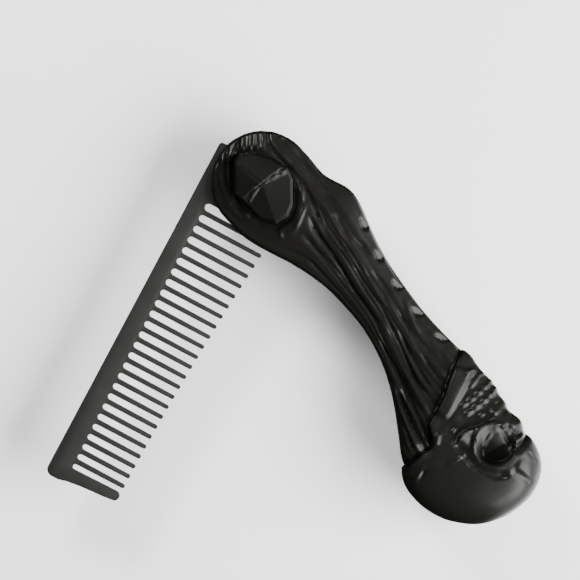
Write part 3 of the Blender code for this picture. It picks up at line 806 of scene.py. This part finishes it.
def scoop(s, w, right, z):
    """Small dished cuts in the round edge, their floors sloping down towards the skull."""
    out = z.copy()
    for s0 in SCOOPS:
        i = np.argmin(np.abs(s[:, 0] - s0))
        on, across = s - s0, w - right + SCOOP_INSET
        level = np.interp(right[i, 0] - SCOOP_INSET, w[i][::-1], z[i][::-1])
        floor = level - 2.2 - 0.42 * on - 0.27 * across + 0.012 * on**2
        rim = np.hypot(on / SCOOP_LENGTH, np.minimum(across, 0) / SCOOP_WIDTH)
        floor = floor + 9 * np.clip(rim - 0.85, 0, None) / 0.3
        out = np.where((z > 0) & (rim < 1.4), np.minimum(out, np.maximum(floor, 0.3 * z)), out)
    return out


def handle():
    """The moulding: half rings along the middle line, their relief, the mirrored half, and the cut-outs."""
    even = np.linspace(START_S, END_S, 3000)
    crowd = np.cumsum(np.interp(even, *zip(*CROWD)))
    s = np.interp(np.linspace(crowd[0], crowd[-1], STATIONS), crowd, even)
    line = smooth_table(LINE, s)
    ahead, behind = smooth_table(LINE, s + 1.0), smooth_table(LINE, s - 1.0)
    d = ahead - behind
    d /= np.hypot(*d.T)[:, None]
    x0, y0, dx, dy = line[:, 0], line[:, 1], d[:, 0], d[:, 1]
    sides = smooth_table(OUTLINE, s)
    left, right = sides[:, 0], sides[:, 1]
    head_left, head_right = head_sides(x0, y0, dx, dy)
    t = ease(s, 40, 60)
    left, right = head_left * (1 - t) + left * t, head_right * (1 - t) + right * t
    thick = np.maximum(smooth_table(THICK, s)[:, 0], 0)
    rows = []
    lanes = smooth_table(FLOW, s)
    powers = smooth_table(SECTION, s)
    for i in range(STATIONS):
        mid, half = (right[i] - left[i]) / 2, max((right[i] + left[i]) / 2, 0)
        rows.append(half_ring(mid, half, thick[i], ramp(s[i], 280, 340), powers[i], lanes[i], HALF_RING))
    w, z = (np.array(c) for c in zip(*rows))
    # across the handle: right of the way down it is the round side
    x = x0[:, None] + w * dy[:, None]
    y = y0[:, None] - w * dx[:, None]
    t = ease(s[:, None], 50, 20)
    z = z * (1 - t) + head_dome(x, y) * t
    p = np.stack([x, y, z], axis=-1)
    du = np.gradient(p, axis=0)
    dv = np.gradient(p, axis=1)
    n = np.cross(du, dv)
    n /= np.linalg.norm(n, axis=2, keepdims=True) + 1e-12
    if n[STATIONS // 2, HALF_RING // 2, 2] < 0:
        n = -n
    n[:, [0, -1], 2] = 0
    n /= np.linalg.norm(n, axis=2, keepdims=True) + 1e-12
    relief, painted_shade = handle_relief(s[:, None], w, x, y)
    # the relief fades towards the edge and the two ends
    inner = np.clip(z / (0.5 * thick[:, None] + 0.1), 0, 1)
    least = 0.3 * ramp(s[:, None], 60, 120)
    relief *= np.where(relief > 0, inner, least + (1 - least) * inner)
    relief *= (ramp(s, START_S, START_S + 4) * ramp(s, END_S, END_S - 6))[:, None]
    # at the skull, what stands up goes less sideways, so that it stays within the outline
    sideways = np.where(relief > 0, 1 - 0.6 * step((s[:, None] - 330) / 8), 1)
    p = p + relief[..., None] * n * np.stack([sideways, sideways, np.ones(relief.shape)], axis=-1)
    p[..., 2] = np.clip(p[..., 2], 0, HIGHEST)
    p[..., 2] = scoop(s[:, None] + 0 * w, w, right[:, None] + 0 * w, p[..., 2])
    p[:, [0, -1], 2] = 0
    # the underside mirrors the top; the first and last stations close to one point each
    rings = p[1:-1]
    low = rings[:, -2:0:-2] * np.array([1, 1, -1])
    rings = np.concatenate([rings, low], axis=1)
    painted_shade = np.concatenate([painted_shade[1:-1], painted_shade[1:-1, -2:0:-2]], axis=1).ravel()
    k = rings.shape[1]
    flat = rings.reshape(-1, 3)
    ends = np.array([[p[0, :, 0].mean(), p[0, :, 1].mean(), 0], [p[-1, :, 0].mean(), p[-1, :, 1].mean(), 0]])
    flat = np.vstack([flat, ends])
    verts = place(flat[:, 0], flat[:, 1], flat[:, 2])
    a = np.arange(STATIONS - 3)[:, None] * k + np.arange(k)[None, :]
    b = np.arange(STATIONS - 3)[:, None] * k + (np.arange(k)[None, :] + 1) % k
    faces = np.stack([a, b, b + k, a + k], axis=-1).reshape(-1, 4).tolist()
    first, last = len(flat) - 2, len(flat) - 1
    base = (STATIONS - 3) * k
    faces += [(first, (j + 1) % k, j) for j in range(k)]
    faces += [(last, base + j, base + (j + 1) % k) for j in range(k)]
    ob = mesh_piece("handle_moulding", verts.tolist(), faces, BLACK, "handle_body", "handle")
    # the painted shade is stored on the mesh; the two end points get none
    mark_painted_shade(ob, np.r_[painted_shade, 0, 0])
    cut(ob, [slot_cutter(), hole_cutter("pin_hole", 6.5)] + [well_cutter(side) for side in (1, -1)])
    shade(ob, 55)
    return ob


def tip_b(a):
    """How far across the blade the teeth's tips reach."""
    return 4.98 + 3.1 * max((83.25 - a) / 67.5, 0.0) ** 1.85


def slot_cutter():
    """The slot that takes the blade, drawn about the closed blade."""
    plan = [(a, tip_b(a) + SLOT_TIP_ROOM) for a in np.linspace(90.0, 13.2, 40)]
    plan += arc(0, 0, SLOT_HEAD_R, 34.5, 180, 40) + [(-SLOT_HEAD_R, -45.0)]
    plan += arc(0, 0, SLOT_FAR_R, -35, 3.4, 30)
    return prism("slot", turned(plan, BLADE_DIR_DEG + FOLD_DEG), -SLOT_HALF, SLOT_HALF)


def hole_cutter(name, half):
    return prism(name, arc(0, 0, PIN_HOLE_R, 0, 350, 36), -half, half)


def grown(corners, gap):
    """A plan with its edges moved out by gap."""
    c = np.array(corners)
    out = []
    for i in range(len(c)):
        p, a, b = c[i], c[i - 1], c[(i + 1) % len(c)]
        e0, e1 = (p - a) / np.hypot(*(p - a)), (b - p) / np.hypot(*(b - p))
        n0, n1 = np.array([-e0[1], e0[0]]), np.array([-e1[1], e1[0]])
        if np.dot(n0, p - c.mean(0)) < 0:
            n0, n1 = -n0, -n1
        out.append(tuple(p + gap * (n0 + n1) / (1 + np.dot(n0, n1))))
    return out


def well_cutter(side):
    z0, z1 = sorted((side * WELL_FLOOR, side * 14))
    return prism("well_top" if side > 0 else "well_under", grown(STUD_CORNERS, STUD_GAP), z0, z1)


# studs


def stud(name, side):
    """A low uneven pyramid on a straight-sided foot, with a bevelled edge and marks along its ridges."""
    corners = np.array(STUD_CORNERS)
    loop = np.vstack([corners, corners[:1]])
    run = np.r_[0, np.cumsum(np.hypot(*np.diff(loop, axis=0).T))]
    spots = np.sort(np.r_[np.linspace(0, run[-1], 109)[:-1], run[1:-1] + 0.01, run[1:-1] - 0.01])
    rim = np.stack([np.interp(spots, run, loop[:, i]) for i in (0, 1)], axis=-1)
    apex = np.array(STUD_APEX)
    shares = np.r_[np.linspace(0, 0.9, 30)[1:], 0.915, 0.93, 0.95, 0.975, 1.0]
    grid = np.array([apex[None] + (rim - apex) * share for share in shares])
    x, y = grid[..., 0], grid[..., 1]
    z = np.full(x.shape, np.inf)
    ends = [np.array(e) for e in STUD_RIDGE_ENDS]
    for e0, e1 in zip(ends, ends[1:] + ends[:1]):
        n = np.cross(np.r_[e0[:2] - apex, e0[2] - STUD_TOP], np.r_[e1[:2] - apex, e1[2] - STUD_TOP])
        z = np.minimum(z, STUD_TOP - (n[0] * (x - apex[0]) + n[1] * (y - apex[1])) / n[2])
    z += marks(x, y, STUD_RIBS)
    z = np.minimum(z, STUD_TOP)
    edge = np.clip((shares[:, None] - STUD_EDGE_START) / STUD_EDGE_SHARE, 0, 1)
    z = z + (STUD_SHOULDER - z) * edge
    k = len(rim)
    top = np.dstack([x, y, z]).reshape(-1, 3)
    foot = np.column_stack([rim, np.full(k, STUD_BASE)])
    verts = np.vstack([[[*apex, STUD_TOP]], top, foot, [[*apex, STUD_BASE]]])
    count = len(verts)
    faces = [(0, 1 + j, 1 + (j + 1) % k) for j in range(k)]
    for i in range(len(shares)):
        base = 1 + i * k
        faces += [(base + j, base + k + j, base + k + (j + 1) % k, base + (j + 1) % k) for j in range(k)]
    faces += [(count - 1, count - 1 - k + (j + 1) % k, count - 1 - k + j) for j in range(k)]
    verts = [place_mm(a, b, side * c) for a, b, c in verts]
    node = "pivot_cap_front" if side > 0 else "pivot_cap_back"
    ob = mesh_piece(name, verts, faces, BLACK, "handle_body", node)
    # painted shade: each stud is darkened and dulled evenly all over
    mark_painted_shade(ob, np.full(count, STUD_PAINTED_SHADE))
    shade(ob, 24)
    return ob


# blade


def tooth_a(k):
    """How far along the blade a tooth stands; they stand a little closer towards the guard."""
    return 12.87 + 3.0375 * k - 0.0053 * k * k


def root_b(a):
    """Where the gaps between the teeth end, across the blade."""
    return -10.25 + 1.35 * (max(a - 10.0, 0.0) / 74.0) ** 1.6


def blade_plan():
    """The blade's outline: the spine, the guard, the gaps and teeth from the guard back, and the tang."""
    r = TANG_CORNER_R
    pts = arc(TANG_A + r, SPINE_B + r, r, 180, 270, 7)
    r = GUARD_CORNER_R
    pts += arc(GUARD_OUT_A - r, SPINE_B + r, r, -90, 0, 12)
    pts += [(88.8, -10.6), (88.25, -8.6), (87.75, -5.0), (87.2, 2.2)]
    pts += arc(85.75, 3.75, 1.25, 8, 172, 13)
    for k in range(TEETH, -1, -1):
        g0 = TANG_EDGE_A if k == 0 else tooth_a(k - 1) + TOOTH_HALF
        g1 = GUARD_IN_A if k == TEETH else tooth_a(k) - TOOTH_HALF
        r = min((g1 - g0) / 2, ROOT_R)
        level = root_b((g0 + g1) / 2)
        pts += arc(g1 - r, level + r, r, 0, -90, 7)
        rest = arc(g0 + r, level + r, r, -90, -180, 7)
        pts += rest if g1 - g0 > 2 * r + 0.05 else rest[1:]
        if k > 0:
            a = tooth_a(k - 1)
            pts += arc(a, tip_b(a) - TOOTH_TIP_R, TOOTH_TIP_R, 0, 180, 9)
    return pts + [(TANG_EDGE_A, -6.0)] + arc(0, 0, LUG_R, 0, 170, 24) + [(-5.65, -4.0)]


def wedge_cutter(side):
    """A block that leaves the teeth thinner towards their tips on one face of the blade."""
    verts = []
    for z, a0, a1, b0, far in WEDGE:
        corners = turned([(a0, b0), (a1, b0), (a1, WEDGE_FAR_B), (a0, WEDGE_FAR_B)], BLADE_DIR_DEG)
        verts += [place_mm(x, y, side * h) for (x, y), h in zip(corners, (z, z, far, far))]
    faces = [(0, 1, 2, 3), (4, 5, 6, 7), (0, 1, 5, 4), (1, 2, 6, 5), (2, 3, 7, 6), (3, 0, 4, 7)]
    return solid("thin", verts, faces)


def blade():
    verts, faces = prism_mesh(turned(blade_plan(), BLADE_DIR_DEG), -BLADE_HALF, BLADE_HALF)
    ob = mesh_piece("comb_moulding", verts, faces, GREY, "blade_body", "comb_blade")
    cut(ob, [hole_cutter("hole", 3)] + [wedge_cutter(side) for side in (1, -1)])
    bevel = ob.modifiers.new("round", "BEVEL")
    bevel.width = BLADE_BEVEL * MM
    bevel.segments = 2
    bevel.limit_method = "ANGLE"
    bevel.angle_limit = math.radians(45)
    bake(ob)
    shade(ob, 28)
    return ob


# set


def light(name, turn, down, away, size, power):
    """A soft box: its direction in plan, its angle down from straight above, distance, size and power."""
    data = bpy.data.lights.new(name, "AREA")
    data.shape = "RECTANGLE"
    data.size, data.size_y = size
    data.energy = power
    ob = bpy.data.objects.new(name, data)
    a, b = math.radians(turn), math.radians(down)
    way = Vector((math.sin(b) * math.cos(a), math.sin(b) * math.sin(a), math.cos(b)))
    ob.location = way * away
    ob.rotation_euler = way.to_track_quat("Z", "Y").to_euler()
    bpy.context.scene.collection.objects.link(ob)


def backdrop():
    floor_mat, *_ = principled("floor", (FLOOR_GREY, FLOOR_GREY, FLOOR_GREY), 0.9)
    bpy.ops.mesh.primitive_plane_add(size=3, location=(0, 0, CAD_BOX[0].z - FLOOR_DROP))
    floor = bpy.context.object
    floor.name = "floor"
    floor.data.materials.append(floor_mat)
    floor.visible_glossy = False


def sky():
    """The surroundings: a sky that changes with height, and the card."""
    world = bpy.data.worlds.new("world")
    world.use_nodes = True
    make, link = world.node_tree.nodes.new, world.node_tree.links.new
    back = world.node_tree.nodes["Background"]
    coord = make("ShaderNodeTexCoord")
    parts = make("ShaderNodeSeparateXYZ")
    fade = make("ShaderNodeFloatCurve")
    curve = fade.mapping.curves[0]
    fade.mapping.use_clip = False
    for i, (height, bright) in enumerate(SKY):
        # a new curve has two points of its own
        if i < 2:
            curve.points[i].location = (height, bright)
        else:
            curve.points.new(height, bright)
    fade.mapping.update()
    link(coord.outputs["Generated"], parts.inputs["Vector"])
    link(parts.outputs["Z"], fade.inputs["Value"])
    level = make("ShaderNodeVectorMath")
    level.operation = "MULTIPLY"
    level.inputs[1].default_value = (1, 1, 0)
    unit = make("ShaderNodeVectorMath")
    unit.operation = "NORMALIZE"
    towards = make("ShaderNodeVectorMath")
    towards.operation = "DOT_PRODUCT"
    turn = math.radians(CARD_TURN)
    towards.inputs[1].default_value = (math.cos(turn), math.sin(turn), 0)
    round_it, up_it = make("ShaderNodeMapRange"), make("ShaderNodeMapRange")
    for ranged, (none, full) in ((round_it, CARD_ROUND), (up_it, CARD_UP)):
        ranged.interpolation_type = "SMOOTHSTEP"
        ranged.inputs["From Min"].default_value = none
        ranged.inputs["From Max"].default_value = full
    card, total = make("ShaderNodeMath"), make("ShaderNodeMath")
    card.operation = "MULTIPLY"
    total.operation = "MULTIPLY_ADD"
    total.inputs[1].default_value = CARD_POWER
    link(coord.outputs["Generated"], level.inputs[0])
    link(level.outputs["Vector"], unit.inputs[0])
    link(unit.outputs["Vector"], towards.inputs[0])
    link(towards.outputs["Value"], round_it.inputs["Value"])
    link(parts.outputs["Z"], up_it.inputs["Value"])
    link(round_it.outputs["Result"], card.inputs[0])
    link(up_it.outputs["Result"], card.inputs[1])
    link(card.outputs["Value"], total.inputs[0])
    link(fade.outputs["Value"], total.inputs[2])
    link(total.outputs["Value"], back.inputs["Strength"])
    bpy.context.scene.world = world


def camera():
    cam = bpy.data.cameras.new("camera")
    cam.sensor_width = SENSOR_MM
    cam.lens = SENSOR_MM * CAMERA_UP / (PICTURE_PX * PX)
    cam.clip_start = 0.05
    cam.clip_end = 5
    ob = bpy.data.objects.new("camera", cam)
    ob.location = (
        PIVOT.x + (MIDDLE_PX - PIVOT_PX[0]) * PX,
        PIVOT.y - (MIDDLE_PX - PIVOT_PX[1]) * PX,
        PIVOT.z + CAMERA_UP,
    )
    bpy.context.scene.collection.objects.link(ob)
    bpy.context.scene.camera = ob


BLACK = black_plastic()
GREY = grey_plastic()
handle()
stud("front_stud", 1)
stud("back_stud", -1)
blade()
backdrop()
sky()
for row in LIGHTS:
    light(*row)
camera()
